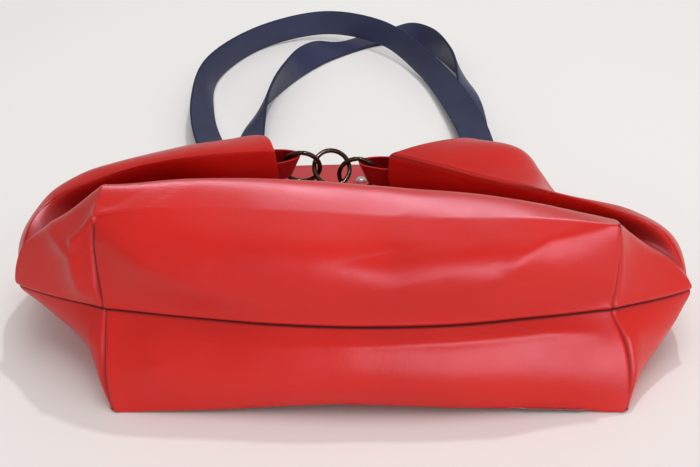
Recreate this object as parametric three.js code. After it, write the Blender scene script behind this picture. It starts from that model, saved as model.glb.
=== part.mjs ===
import * as THREE from 'three';

// Sizes in millimetres. Z = 0 is the table, the base faces -Y and the mouth +Y.
const WALL = 2;
const SEAM_GAP = 0.6;
const REST_SHIFT = 150;
const STEPS_ROUND = 3;
const STEPS_ALONG = 3;
const LOWER_BULGE = 8;
const UPPER_BULGE = 17;
const UPPER_ROUNDING = 2.67;
const UPPER_SKEW = 1.5;
const MITRE_LIMIT = 1.5;

const STRAP_WIDTH = 30;
const STRAP_THICK = 3;
const TAB_WIDTH = 21;
const TAB_THICK = 1.6;
const RING_RADIUS = 15.5;
const WIRE_RADIUS = 2;
const RING_SIDES = 16;
const WIRE_SIDES = 6;
const STUD_RADIUS = 5;
const STUD_HEIGHT = 3.4;
const SEAT_GAP = 0.35;

// Middle of the back and of the front, one row per section from the base to the rim
const MIDDLE = [
  { back: [0, -1, 9], front: [0, 50, 131] },
  { back: [0, 50, 1], front: [0, 82, 135] },
  { back: [0, 90, 1], front: [0, 114, 107] },
  { back: [0, 130, 1], front: [0, 150, 79] },
  { back: [0, 172, 1], front: [0, 188, 51] },
  { back: [0, 215, 1], front: [0, 225, 34] },
  { back: [0, 258, 1], front: [0, 260, 27] },
  { back: [0, 300, 1], front: [0, 294, 24] },
];

// The same sections on each side. floor: where the back leaves the table, crease: outer fold,
// crown: top of the folded side, seam: side seam, tuck and roof: underside of the fold,
// hollow: inner fold, ledge and chest: front panel on the way to the middle
const COLUMNS = ['floor', 'crease', 'crown', 'seam', 'tuck', 'roof', 'hollow', 'ledge', 'chest'];
const RIGHT = [
  { floor: [183, 0, 1], crease: [184, 8, 22], crown: [180, 19, 44],
    seam: [170, 32, 67], tuck: [171, 36, 87], roof: [171, 40, 107],
    hollow: [169, 44, 127], ledge: [113, 49, 127], chest: [57, 50, 128] },
  { floor: [198, 56, 1], crease: [219, 58, 20], crown: [233, 66, 38],
    seam: [238, 71, 53], tuck: [223, 75, 73], roof: [198, 73, 93],
    hollow: [172, 66, 117], ledge: [113, 74, 126], chest: [57, 80, 130] },
  { floor: [200, 108, 1], crease: [234, 112, 28], crown: [239, 113, 61],
    seam: [224, 107, 76], tuck: [212, 118, 64], roof: [206, 127, 55],
    hollow: [199, 134, 48], ledge: [168, 124, 72], chest: [70, 113, 103] },
  { floor: [196, 155, 1], crease: [230, 158, 26], crown: [215, 152, 65],
    seam: [191, 143, 75], tuck: [190, 153, 58], roof: [197, 160, 48],
    hollow: [208, 166, 40], ledge: [189, 163, 34], chest: [78, 150, 78] },
  { floor: [170, 196, 1], crease: [190, 199, 24], crown: [154, 179, 67],
    seam: [147, 164, 77], tuck: [152, 172, 54], roof: [163, 190, 46],
    hollow: [172, 202, 35], ledge: [154, 199, 28], chest: [78, 188, 50] },
  { floor: [148, 232, 1], crease: [161, 233, 22], crown: [146, 212, 70],
    seam: [101, 180, 79], tuck: [107, 188, 52], roof: [136, 222, 43],
    hollow: [145, 236, 31], ledge: [130, 234, 24], chest: [74, 225, 34] },
  { floor: [135, 266, 1], crease: [152, 266, 22], crown: [133, 236, 76],
    seam: [64, 197, 80], tuck: [70, 205, 46], roof: [119, 250, 41],
    hollow: [135, 265, 29], ledge: [118, 264, 22], chest: [72, 260, 26] },
  { floor: [129, 300, 1], crease: [149, 298, 22], crown: [94, 258, 72],
    seam: [24, 216, 80], tuck: [29, 219, 42], roof: [108, 276, 39],
    hollow: [130, 293, 27], ledge: [113, 294, 20], chest: [68, 294, 22] },
];
const LEFT = [
  { floor: [-176, 0, 1], crease: [-179, 8, 22], crown: [-179, 19, 44],
    seam: [-179, 33, 67], tuck: [-180, 38, 88], roof: [-180, 44, 110],
    hollow: [-179, 50, 132], ledge: [-119, 52, 135], chest: [-60, 51, 134] },
  { floor: [-186, 62, 1], crease: [-206, 66, 22], crown: [-234, 69, 42],
    seam: [-249, 71, 58], tuck: [-244, 76, 83], roof: [-211, 75, 114],
    hollow: [-176, 72, 141], ledge: [-119, 78, 143], chest: [-60, 82, 139] },
  { floor: [-212, 110, 1], crease: [-244, 110, 28], crown: [-260, 108, 56],
    seam: [-248, 106, 81], tuck: [-234, 111, 74], roof: [-226, 121, 64],
    hollow: [-216, 132, 52], ledge: [-180, 124, 82], chest: [-72, 115, 109] },
  { floor: [-216, 152, 1], crease: [-249, 152, 30], crown: [-250, 152, 76],
    seam: [-238, 145, 84], tuck: [-230, 156, 65], roof: [-229, 167, 52],
    hollow: [-226, 173, 42], ledge: [-202, 168, 36], chest: [-80, 150, 80] },
  { floor: [-208, 194, 1], crease: [-240, 194, 28], crown: [-228, 186, 79],
    seam: [-212, 174, 83], tuck: [-206, 189, 62], roof: [-213, 202, 48],
    hollow: [-216, 208, 37], ledge: [-192, 203, 29], chest: [-80, 188, 51] },
  { floor: [-188, 230, 1], crease: [-219, 232, 26], crown: [-200, 212, 76],
    seam: [-168, 195, 86], tuck: [-159, 216, 56], roof: [-182, 230, 45],
    hollow: [-194, 239, 33], ledge: [-170, 237, 24], chest: [-78, 225, 34] },
  { floor: [-162, 266, 1], crease: [-193, 266, 25], crown: [-157, 236, 75],
    seam: [-122, 204, 88], tuck: [-114, 210, 53], roof: [-152, 254, 43],
    hollow: [-169, 267, 30], ledge: [-147, 265, 22], chest: [-75, 260, 26] },
  { floor: [-136, 300, 1], crease: [-166, 298, 24], crown: [-84, 236, 87],
    seam: [-73, 207, 90], tuck: [-73, 212, 51], roof: [-121, 272, 42],
    hollow: [-142, 293, 28], ledge: [-120, 294, 20], chest: [-70, 294, 22] },
];
const BOTTOM_SEAM = [
  { x: -119, y: 25, z: 66 },
  { x: -59, y: 17, z: 66 },
  { x: 0, y: 14, z: 66 },
  { x: 58, y: 16, z: 66 },
  { x: 116, y: 24, z: 66 },
];

// Straps: a row per bend, at = middle of the strap, up = the way its width points
const HANDLE_FRONT = [
  { at: [-121, 278, 17.2], up: [-1, 0, 0] },
  { at: [-124, 298, 16.6], up: [-1, 0, 0.02] },
  { at: [-147, 345, 18], up: [-0.95, 0, 0.3] },
  { at: [-165, 425, 18], up: [-0.75, 0, 0.66] },
  { at: [-164, 525, 16], up: [-0.3, 0, 0.95] },
  { at: [-112, 614, 15.5], up: [0, 0, 1] },
  { at: [-40, 642, 20], up: [0, 0, 1] },
  { at: [28, 602, 24], up: [0.1, 0, 1] },
  { at: [74, 525, 20], up: [0.35, 0, 0.94] },
  { at: [101, 440, 19], up: [0.75, 0, 0.66] },
  { at: [114, 360, 20], up: [0.95, 0, 0.3] },
  { at: [117, 298, 16.6], up: [1, 0, 0.02] },
  { at: [116, 278, 17.2], up: [1, 0, 0] },
];
const HANDLE_BACK = [
  { at: [-104, 280, 4], up: [1, 0, 0] },
  { at: [-106, 306, 3.9], up: [1, 0, 0] },
  { at: [-110, 375, 7], up: [0.9, 0, 0.43] },
  { at: [-101, 440, 15], up: [0.4, 0, 0.9] },
  { at: [-80, 510, 15], up: [-0.05, 0.1, 1] },
  { at: [-48, 574, 11], up: [-0.45, 0.6, 0.62] },
  { at: [-12, 612, 2], up: [-0.45, 0.9, 0] },
  { at: [32, 634, 4], up: [-0.1, 0.98, 0.15] },
  { at: [80, 608, 14.5], up: [0.1, 0.25, 0.96] },
  { at: [108, 546, 15], up: [-0.2, 0, 0.98] },
  { at: [119, 482, 12], up: [-0.75, 0, 0.65] },
  { at: [119, 405, 3.6], up: [-0.99, 0, 0.1] },
  { at: [114, 306, 3.9], up: [-1, 0, 0] },
  { at: [112, 280, 4], up: [-1, 0, 0] },
];
// Tabs: the way of the folded band in plan, from the leg near the base to the far one
const TAB_LEFT = { height: 65, lean: 0.42, way: [
  { x: -92, y: 212.2 }, { x: -76, y: 213 }, { x: -66, y: 217 }, { x: -59, y: 222 }, { x: -56.5, y: 227 },
  { x: -59, y: 232 }, { x: -66, y: 235 }, { x: -76, y: 236 }, { x: -92, y: 233 },
] };
const TAB_RIGHT = { height: 55, lean: -0.42, way: [
  { x: 37, y: 219.8 }, { x: 21, y: 221 }, { x: 12, y: 224 }, { x: 4.5, y: 227 }, { x: 2, y: 232 },
  { x: 4.5, y: 237 }, { x: 12, y: 240 }, { x: 21, y: 241 }, { x: 37, y: 240 },
] };

// Rings: at = centre, axis = across the hole
const RINGS = [
  { name: 'ring_left', at: [-51.2, 226, 63], axis: [0, 1, 0.16] },
  { name: 'ring_middle', at: [-25.5, 229.2, 60.3], axis: [0.34, -1, 1.09] },
  { name: 'ring_right', at: [-3.8, 232, 52], axis: [0, 1, 0] },
];

const RED = { color: 0xc02a24, roughness: 0.42, metalness: 0 };
const NAVY = { color: 0x343a52, roughness: 0.55, metalness: 0 };
const GUNMETAL = { color: 0x231d1a, roughness: 0.25, metalness: 1 };
const NICKEL = { color: 0xb9b9bd, roughness: 0.35, metalness: 1 };

const BAND_CORNERS = [[-0.5, -0.5], [0.5, -0.5], [0.5, 0.5], [-0.5, 0.5]];
const vector = (a) => new THREE.Vector3(a[0], a[1], a[2]);
const spline = (points, closed = false) => new THREE.CatmullRomCurve3(points, closed, 'centripetal');

function sampled(points, steps, closed = false) {
  const curve = spline(points, closed);
  const spans = closed ? points.length : points.length - 1;
  const count = closed ? spans * steps : spans * steps + 1;
  return Array.from({ length: count }, (_, i) => curve.getPoint(i / (spans * steps)));
}

// Loop positions of the columns that bound the panels
const COLUMN_COUNT = 24;
const ROUND = COLUMN_COUNT * STEPS_ROUND;
const AT = { floorRight: 3, seamRight: 6, hollowRight: 9, hollowLeft: 15, seamLeft: 18, floorLeft: 21 };
for (const key of Object.keys(AT)) {
  AT[key] *= STEPS_ROUND;
}

// How firm an edge the side seams make in each section: 0 for a soft roll, 1 for a corner
const SEAM_SHARE = { right: [0, 0, 0.2, 0.5, 0.6, 0.6, 0.6, 0.6], left: [0, 0, 0.2, 0.3, 0.3, 0.3, 0.35, 0.5] };

function sectionLoop(row) {
  const middle = vector(MIDDLE[row].back);
  const backPart = (side, share) => middle.clone().lerp(vector(side[row].floor), share);
  const sidePart = (side) => COLUMNS.map((name) => vector(side[row][name]));
  const half = (side) => [backPart(side, 1 / 3), backPart(side, 2 / 3), ...sidePart(side)];
  const loop = [middle, ...half(RIGHT), vector(MIDDLE[row].front), ...half(LEFT).reverse()];
  const fromSeam = Array.from({ length: COLUMN_COUNT + 1 },
    (_, k) => loop[(k + AT.seamRight / STEPS_ROUND) % COLUMN_COUNT]);
  const halfCount = COLUMN_COUNT / 2;
  const front = sampled(fromSeam.slice(0, halfCount + 1), STEPS_ROUND);
  const back = sampled(fromSeam.slice(halfCount), STEPS_ROUND);
  const firm = [...front.slice(0, -1), ...back.slice(0, -1)];
  return sampled(loop, STEPS_ROUND, true).map((p, i) => {
    const share = i < ROUND / 2 ? SEAM_SHARE.right[row] : SEAM_SHARE.left[row];
    return p.lerp(firm[(i - AT.seamRight + ROUND) % ROUND], share);
  });
}

const points = [];
const addPoint = (p) => {
  p.z = Math.max(p.z, WALL / 2);
  points.push(p);
  return points.length - 1;
};

// Body of the bag: loops blended from row to row
const sections = MIDDLE.map((_, row) => sectionLoop(row));
const columns = sections[0].map((_, i) => sampled(sections.map((loop) => loop[i]), STEPS_ALONG));
const ALONG = columns[0].length;
const grid = columns.map((column) => column.map((p) => addPoint(p)));
const at = (i, j) => grid[(i + ROUND) % ROUND][j];

const frontFaces = [];
const backFaces = [];
const addQuad = (faces, a, b, c, d) => faces.push([a, b, c], [a, c, d]);
const isFront = (i) => i >= AT.seamRight && i < AT.seamLeft;
for (let i = 0; i < ROUND; i++) {
  for (let j = 0; j + 1 < ALONG; j++) {
    addQuad(isFront(i) ? frontFaces : backFaces, at(i, j), at(i, j + 1), at(i + 1, j + 1), at(i + 1, j));
  }
}

// Base: a patch on each side of the bottom seam, between the outline of row 1 and the seam
const outline = (from, to) => {
  const step = Math.sign(to - from);
  return Array.from({ length: Math.abs(to - from) + 1 }, (_, k) => at(from + k * step, 0));
};
const lowerEdge = outline(AT.floorLeft - ROUND, AT.floorRight);
const upperEdge = outline(AT.hollowLeft, AT.hollowRight);
const seamEnds = [at(AT.seamLeft, 0), at(AT.seamRight, 0)];
const seamPath = sampled([points[seamEnds[0]], ...BOTTOM_SEAM.map((p) => vector([p.x, p.y, p.z])),
  points[seamEnds[1]]], STEPS_ROUND);
const bottomSeam = seamPath.map((p, k) => {
  if (k === 0) return seamEnds[0];
  if (k === seamPath.length - 1) return seamEnds[1];
  return addPoint(p.clone());
});

function basePatch(edge, leftSide, rightSide, bulge) {
  const nu = edge.length - 1;
  const nv = leftSide.length - 1;
  const rows = [];
  for (let j = 0; j <= nv; j++) {
    const v = j / nv;
    const row = [];
    for (let i = 0; i <= nu; i++) {
      const u = i / nu;
      if (j === 0) row.push(bottomSeam[i]);
      else if (j === nv) row.push(edge[i]);
      else if (i === 0) row.push(leftSide[j]);
      else if (i === nu) row.push(rightSide[j]);
      else row.push(addPoint(coonsPoint(edge, leftSide, rightSide, i, j, u, v).add(bulge(u, v))));
    }
    rows.push(row);
  }
  return rows;
}

function coonsPoint(edge, leftSide, rightSide, i, j, u, v) {
  const along = points[bottomSeam[i]].clone().lerp(points[edge[i]], v);
  const across = points[leftSide[j]].clone().lerp(points[rightSide[j]], u);
  const nearLine = points[bottomSeam[0]].clone().lerp(points[bottomSeam[bottomSeam.length - 1]], u);
  const farLine = points[edge[0]].clone().lerp(points[edge[edge.length - 1]], u);
  return along.add(across).sub(nearLine.lerp(farLine, v));
}

const acrossBase = (u) => 1 - Math.abs(2 * u - 1) ** 3;
const lowerBulge = (u, v) => new THREE.Vector3(0, -4 * v * (1 - v) * LOWER_BULGE * acrossBase(u), 0);
const upperBulge = (u, v) => {
  const profile = 1 - Math.abs(2 * v ** UPPER_SKEW - 1) ** UPPER_ROUNDING;
  const depth = profile * UPPER_BULGE * acrossBase(u);
  return new THREE.Vector3(0, -0.89 * depth, 0.45 * depth);
};
const lowerLeft = outline(AT.seamLeft, AT.floorLeft);
const lowerRight = outline(AT.seamRight, AT.floorRight);
const lowerPatch = basePatch(lowerEdge, lowerLeft, lowerRight, lowerBulge);
const upperLeft = outline(AT.seamLeft, AT.hollowLeft);
const upperRight = outline(AT.seamRight, AT.hollowRight);
const upperPatch = basePatch(upperEdge, upperLeft, upperRight, upperBulge);
for (let j = 0; j + 1 < lowerPatch.length; j++) {
  for (let i = 0; i + 1 < lowerPatch[j].length; i++) {
    const [low, high] = [lowerPatch[j], lowerPatch[j + 1]];
    addQuad(backFaces, high[i], high[i + 1], low[i + 1], low[i]);
  }
}
for (let j = 0; j + 1 < upperPatch.length; j++) {
  for (let i = 0; i + 1 < upperPatch[j].length; i++) {
    const [low, high] = [upperPatch[j], upperPatch[j + 1]];
    addQuad(frontFaces, low[i], low[i + 1], high[i + 1], high[i]);
  }
}

// Leather thickness: every point moves out and in along its normal, with a mitre at sharp folds
const normals = points.map(() => new THREE.Vector3());
const facesAt = points.map(() => []);
for (const face of [...frontFaces, ...backFaces]) {
  const [a, b, c] = face.map((k) => points[k]);
  const normal = b.clone().sub(a).cross(c.clone().sub(a));
  for (const k of face) normals[k].add(normal);
  const unit = normal.normalize();
  for (const k of face) facesAt[k].push(unit);
}
const offsets = normals.map((normal, k) => {
  const unit = normal.clone().normalize();
  const lean = facesAt[k].reduce((sum, face) => sum + face.dot(unit), 0) / facesAt[k].length;
  return unit.multiplyScalar(WALL / 2 * Math.min(1 / Math.max(lean, 0.1), MITRE_LIMIT));
});

// The seam line, from the left rim down the side, across the base and up to the right rim
const seamLine = [
  ...Array.from({ length: ALONG }, (_, j) => at(AT.seamLeft, ALONG - 1 - j)),
  ...bottomSeam.slice(1, -1),
  ...Array.from({ length: ALONG }, (_, j) => at(AT.seamRight, j)),
];
const seamAway = new Map(seamLine.map((k, n) => {
  const before = points[seamLine[Math.max(n - 1, 0)]];
  const after = points[seamLine[Math.min(n + 1, seamLine.length - 1)]];
  const away = after.clone().sub(before).cross(offsets[k]).normalize();
  return [k, away.multiplyScalar(SEAM_GAP / 2)];
}));

function panelGeometry(faces, sideOfSeam) {
  const used = [...new Set(faces.flat())];
  const index = new Map(used.map((k, n) => [k, n]));
  const shifted = used.map((k) => {
    const p = points[k].clone();
    if (seamAway.has(k)) p.addScaledVector(seamAway.get(k), sideOfSeam);
    return p;
  });
  const outer = shifted.map((p, n) => p.clone().add(offsets[used[n]]));
  const inner = shifted.map((p, n) => p.clone().sub(offsets[used[n]]));
  const positions = [...outer, ...inner].flatMap((p) => [p.x, p.y, Math.max(p.z, 0)]);
  const triangles = [];
  const edges = new Map();
  for (const face of faces) {
    const [a, b, c] = face.map((k) => index.get(k));
    triangles.push(a, b, c, a + used.length, c + used.length, b + used.length);
    for (const [p, q] of [[a, b], [b, c], [c, a]]) {
      if (!edges.delete(`${q},${p}`)) edges.set(`${p},${q}`, [p, q]);
    }
  }
  for (const [p, q] of edges.values()) {
    triangles.push(q, p, p + used.length, q, p + used.length, q + used.length);
  }
  return solid(positions, triangles);
}

function solid(positions, triangles) {
  const geometry = new THREE.BufferGeometry();
  geometry.setAttribute('position', new THREE.Float32BufferAttribute(positions, 3));
  geometry.setIndex(triangles);
  geometry.computeVertexNormals();
  return geometry;
}

// A flat band swept along its rows
function strapGeometry(rows, width, thick, steps) {
  const middles = spline(rows.map((row) => vector(row.at)));
  const widths = spline(rows.map((row) => vector(row.up).normalize().multiplyScalar(100)));
  const count = (rows.length - 1) * steps;
  const positions = [];
  for (let i = 0; i <= count; i++) {
    const middle = middles.getPoint(i / count);
    const along = middles.getTangent(i / count);
    const across = widths.getPoint(i / count);
    across.addScaledVector(along, -across.dot(along)).normalize();
    const up = along.clone().cross(across).normalize();
    const lowest = (Math.abs(across.z) * width + Math.abs(up.z) * thick) / 2;
    middle.z = Math.max(middle.z, lowest);
    for (const [w, t] of BAND_CORNERS) {
      const corner = middle.clone().addScaledVector(across, w * width).addScaledVector(up, t * thick);
      positions.push(corner.x, corner.y, corner.z);
    }
  }
  return bandSolid(positions, count);
}

// A folded band of upright sides, leaning along X from its lower to its upper edge
function tabGeometry(tab) {
  const way = sampled(tab.way.map((row) => new THREE.Vector3(row.x, row.y, tab.height)), 2);
  const positions = [];
  way.forEach((p, i) => {
    const along = way[Math.min(i + 1, way.length - 1)].clone().sub(way[Math.max(i - 1, 0)]).normalize();
    const across = new THREE.Vector3(tab.lean, 0, 1).normalize();
    const side = new THREE.Vector3(-along.y, along.x, 0);
    for (const [w, t] of BAND_CORNERS) {
      const corner = p.clone().addScaledVector(across, w * TAB_WIDTH).addScaledVector(side, -t * TAB_THICK);
      positions.push(corner.x, corner.y, corner.z);
    }
  });
  return bandSolid(positions, way.length - 1);
}

function bandSolid(positions, count) {
  const triangles = [];
  for (let i = 0; i < count; i++) {
    for (let k = 0; k < 4; k++) {
      const [a, b] = [4 * i + k, 4 * i + (k + 1) % 4];
      if (k < 2) triangles.push(a, b, b + 4, a, b + 4, a + 4);
      else triangles.push(a, b, a + 4, b, b + 4, a + 4);
    }
  }
  const last = 4 * count;
  triangles.push(0, 3, 2, 0, 2, 1, last, last + 1, last + 2, last, last + 2, last + 3);
  return solid(positions, triangles);
}

function studGeometry() {
  const profile = [[0, 0], [1, 0], [1, 0.3], [0.85, 0.7], [0.5, 0.93], [0, 1]];
  const outlinePoints = profile.map(([r, h]) => new THREE.Vector2(r * STUD_RADIUS, h * STUD_HEIGHT));
  return new THREE.LatheGeometry(outlinePoints, RING_SIDES).rotateX(Math.PI / 2);
}

const bag = new THREE.Group();
bag.name = 'leather_tote';
bag.position.y = -REST_SHIFT;

function addPiece(name, geometry, look) {
  const mesh = new THREE.Mesh(geometry, new THREE.MeshStandardMaterial(look));
  mesh.name = name;
  bag.add(mesh);
  return mesh;
}

addPiece('front_panel', panelGeometry(frontFaces, -1), RED);
addPiece('back_panel', panelGeometry(backFaces, 1), RED);
addPiece('tab_left', tabGeometry(TAB_LEFT), RED);
addPiece('tab_right', tabGeometry(TAB_RIGHT), RED);
for (const ring of RINGS) {
  const geometry = new THREE.TorusGeometry(RING_RADIUS, WIRE_RADIUS, WIRE_SIDES, RING_SIDES);
  const mesh = addPiece(ring.name, geometry, GUNMETAL);
  mesh.position.copy(vector(ring.at));
  mesh.quaternion.setFromUnitVectors(new THREE.Vector3(0, 0, 1), vector(ring.axis).normalize());
}
addPiece('handle_front', strapGeometry(HANDLE_FRONT, STRAP_WIDTH, STRAP_THICK, 4), NAVY);
addPiece('handle_back', strapGeometry(HANDLE_BACK, STRAP_WIDTH, STRAP_THICK, 4), NAVY);

// The stud sits on the middle of the front, one section below the rim
const [studBelow, studHere, studAbove] = MIDDLE.slice(-3).map((row) => vector(row.front));
const stud = addPiece('front_stud', studGeometry(), NICKEL);
stud.position.copy(studHere);
stud.position.z += WALL / 2 + SEAT_GAP;
stud.rotation.x = Math.atan2(studAbove.z - studBelow.z, studAbove.y - studBelow.y);

export default bag;
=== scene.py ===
"""Red leather tote bag lying on its back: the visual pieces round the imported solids."""
import math

import bpy
import numpy as np
from mathutils import Euler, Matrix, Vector, noise


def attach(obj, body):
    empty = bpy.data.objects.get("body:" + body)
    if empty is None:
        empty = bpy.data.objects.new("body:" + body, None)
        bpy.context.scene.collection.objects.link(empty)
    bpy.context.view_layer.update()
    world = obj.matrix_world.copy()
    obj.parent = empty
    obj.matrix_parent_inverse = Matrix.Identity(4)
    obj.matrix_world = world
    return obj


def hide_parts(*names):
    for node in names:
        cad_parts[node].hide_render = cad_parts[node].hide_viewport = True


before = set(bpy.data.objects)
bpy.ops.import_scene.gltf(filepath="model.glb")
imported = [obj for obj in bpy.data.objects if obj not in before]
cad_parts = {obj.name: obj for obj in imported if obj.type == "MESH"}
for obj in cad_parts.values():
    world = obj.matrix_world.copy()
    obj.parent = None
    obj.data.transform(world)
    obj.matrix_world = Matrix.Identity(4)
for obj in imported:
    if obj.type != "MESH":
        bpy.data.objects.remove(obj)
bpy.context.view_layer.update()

MM = 0.001

# Sizes in millimetres and shares, in the frame of the tables: Y = 0 is the lower edge of the base
REST_SHIFT = 150
WALL = 2.0
MITRE_LIMIT = 1.5
LEAST_LEAN = 0.1
RIM_ANGLES = (0, 45, 90, 135, 180)
LOWER_BULGE = 8
UPPER_BULGE = 17
UPPER_BULGE_WAY = (0, -0.89, 0.45)
UPPER_ROUNDING = 2.67
UPPER_SKEW = 1.5
BASE_ROUNDING = 3
STRAP_WIDTH = 30
STRAP_THICK = 3.0
TAB_WIDTH = 21
TAB_THICK = 1.6
BASE_WIDTH = 360
BASE_HALF = 90
COLUMN_WIDTH = 25
ROW_LENGTH = 45
LEAST_SPAN = 1e-4

# Middle of the back and of the front, one row per section from the base to the rim
MIDDLE = [
    dict(back=(0, -1, 9), front=(0, 50, 131)),
    dict(back=(0, 50, 1), front=(0, 82, 135)),
    dict(back=(0, 90, 1), front=(0, 114, 107)),
    dict(back=(0, 130, 1), front=(0, 150, 79)),
    dict(back=(0, 172, 1), front=(0, 188, 51)),
    dict(back=(0, 215, 1), front=(0, 225, 34)),
    dict(back=(0, 258, 1), front=(0, 260, 27)),
    dict(back=(0, 300, 1), front=(0, 294, 24)),
]

RIGHT = [
    dict(floor=(183, 0, 1), crease=(184, 8, 22), crown=(180, 19, 44),
         seam=(170, 32, 67), tuck=(171, 36, 87), roof=(171, 40, 107),
         hollow=(169, 44, 127), ledge=(113, 49, 127), chest=(57, 50, 128)),
    dict(floor=(198, 56, 1), crease=(219, 58, 20), crown=(233, 66, 38),
         seam=(238, 71, 53), tuck=(223, 75, 73), roof=(198, 73, 93),
         hollow=(172, 66, 117), ledge=(113, 74, 126), chest=(57, 80, 130)),
    dict(floor=(200, 108, 1), crease=(234, 112, 28), crown=(239, 113, 61),
         seam=(224, 107, 76), tuck=(212, 118, 64), roof=(206, 127, 55),
         hollow=(199, 134, 48), ledge=(168, 124, 72), chest=(70, 113, 103)),
    dict(floor=(196, 155, 1), crease=(230, 158, 26), crown=(215, 152, 65),
         seam=(191, 143, 75), tuck=(190, 153, 58), roof=(197, 160, 48),
         hollow=(208, 166, 40), ledge=(189, 163, 34), chest=(78, 150, 78)),
    dict(floor=(170, 196, 1), crease=(190, 199, 24), crown=(154, 179, 67),
         seam=(147, 164, 77), tuck=(152, 172, 54), roof=(163, 190, 46),
         hollow=(172, 202, 35), ledge=(154, 199, 28), chest=(78, 188, 50)),
    dict(floor=(148, 232, 1), crease=(161, 233, 22), crown=(146, 212, 70),
         seam=(101, 180, 79), tuck=(107, 188, 52), roof=(136, 222, 43),
         hollow=(145, 236, 31), ledge=(130, 234, 24), chest=(74, 225, 34)),
    dict(floor=(135, 266, 1), crease=(152, 266, 22), crown=(133, 236, 76),
         seam=(64, 197, 80), tuck=(70, 205, 46), roof=(119, 250, 41),
         hollow=(135, 265, 29), ledge=(118, 264, 22), chest=(72, 260, 26)),
    dict(floor=(129, 300, 1), crease=(149, 298, 22), crown=(94, 258, 72),
         seam=(24, 216, 80), tuck=(29, 219, 42), roof=(108, 276, 39),
         hollow=(130, 293, 27), ledge=(113, 294, 20), chest=(68, 294, 22)),
]

LEFT = [
    dict(floor=(-176, 0, 1), crease=(-179, 8, 22), crown=(-179, 19, 44),
         seam=(-179, 33, 67), tuck=(-180, 38, 88), roof=(-180, 44, 110),
         hollow=(-179, 50, 132), ledge=(-119, 52, 135), chest=(-60, 51, 134)),
    dict(floor=(-186, 62, 1), crease=(-206, 66, 22), crown=(-234, 69, 42),
         seam=(-249, 71, 58), tuck=(-244, 76, 83), roof=(-211, 75, 114),
         hollow=(-176, 72, 141), ledge=(-119, 78, 143), chest=(-60, 82, 139)),
    dict(floor=(-212, 110, 1), crease=(-244, 110, 28), crown=(-260, 108, 56),
         seam=(-248, 106, 81), tuck=(-234, 111, 74), roof=(-226, 121, 64),
         hollow=(-216, 132, 52), ledge=(-180, 124, 82), chest=(-72, 115, 109)),
    dict(floor=(-216, 152, 1), crease=(-249, 152, 30), crown=(-250, 152, 76),
         seam=(-238, 145, 84), tuck=(-230, 156, 65), roof=(-229, 167, 52),
         hollow=(-226, 173, 42), ledge=(-202, 168, 36), chest=(-80, 150, 80)),
    dict(floor=(-208, 194, 1), crease=(-240, 194, 28), crown=(-228, 186, 79),
         seam=(-212, 174, 83), tuck=(-206, 189, 62), roof=(-213, 202, 48),
         hollow=(-216, 208, 37), ledge=(-192, 203, 29), chest=(-80, 188, 51)),
    dict(floor=(-188, 230, 1), crease=(-219, 232, 26), crown=(-200, 212, 76),
         seam=(-168, 195, 86), tuck=(-159, 216, 56), roof=(-182, 230, 45),
         hollow=(-194, 239, 33), ledge=(-170, 237, 24), chest=(-78, 225, 34)),
    dict(floor=(-162, 266, 1), crease=(-193, 266, 25), crown=(-157, 236, 75),
         seam=(-122, 204, 88), tuck=(-114, 210, 53), roof=(-152, 254, 43),
         hollow=(-169, 267, 30), ledge=(-147, 265, 22), chest=(-75, 260, 26)),
    dict(floor=(-136, 300, 1), crease=(-166, 298, 24), crown=(-84, 236, 87),
         seam=(-73, 207, 90), tuck=(-73, 212, 51), roof=(-121, 272, 42),
         hollow=(-142, 293, 28), ledge=(-120, 294, 20), chest=(-70, 294, 22)),
]

BOTTOM_SEAM = [
    dict(x=-119, y=25, z=66),
    dict(x=-59, y=17, z=66),
    dict(x=0, y=14, z=66),
    dict(x=58, y=16, z=66),
    dict(x=116, y=24, z=66),
]

HANDLE_FRONT = [
    dict(at=(-121, 278, 17.2), up=(-1, 0, 0)),
    dict(at=(-124, 298, 16.6), up=(-1, 0, 0.02)),
    dict(at=(-147, 345, 18), up=(-0.95, 0, 0.3)),
    dict(at=(-165, 425, 18), up=(-0.75, 0, 0.66)),
    dict(at=(-164, 525, 16), up=(-0.3, 0, 0.95)),
    dict(at=(-112, 614, 15.5), up=(0, 0, 1)),
    dict(at=(-40, 642, 20), up=(0, 0, 1)),
    dict(at=(28, 602, 24), up=(0.1, 0, 1)),
    dict(at=(74, 525, 20), up=(0.35, 0, 0.94)),
    dict(at=(101, 440, 19), up=(0.75, 0, 0.66)),
    dict(at=(114, 360, 20), up=(0.95, 0, 0.3)),
    dict(at=(117, 298, 16.6), up=(1, 0, 0.02)),
    dict(at=(116, 278, 17.2), up=(1, 0, 0)),
]

HANDLE_BACK = [
    dict(at=(-104, 280, 4), up=(1, 0, 0)),
    dict(at=(-106, 306, 3.9), up=(1, 0, 0)),
    dict(at=(-110, 375, 7), up=(0.9, 0, 0.43)),
    dict(at=(-101, 440, 15), up=(0.4, 0, 0.9)),
    dict(at=(-80, 510, 15), up=(-0.05, 0.1, 1)),
    dict(at=(-48, 574, 11), up=(-0.45, 0.6, 0.62)),
    dict(at=(-12, 612, 2), up=(-0.45, 0.9, 0)),
    dict(at=(32, 634, 4), up=(-0.1, 0.98, 0.15)),
    dict(at=(80, 608, 14.5), up=(0.1, 0.25, 0.96)),
    dict(at=(108, 546, 15), up=(-0.2, 0, 0.98)),
    dict(at=(119, 482, 12), up=(-0.75, 0, 0.65)),
    dict(at=(119, 405, 3.6), up=(-0.99, 0, 0.1)),
    dict(at=(114, 306, 3.9), up=(-1, 0, 0)),
    dict(at=(112, 280, 4), up=(-1, 0, 0)),
]

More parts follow.
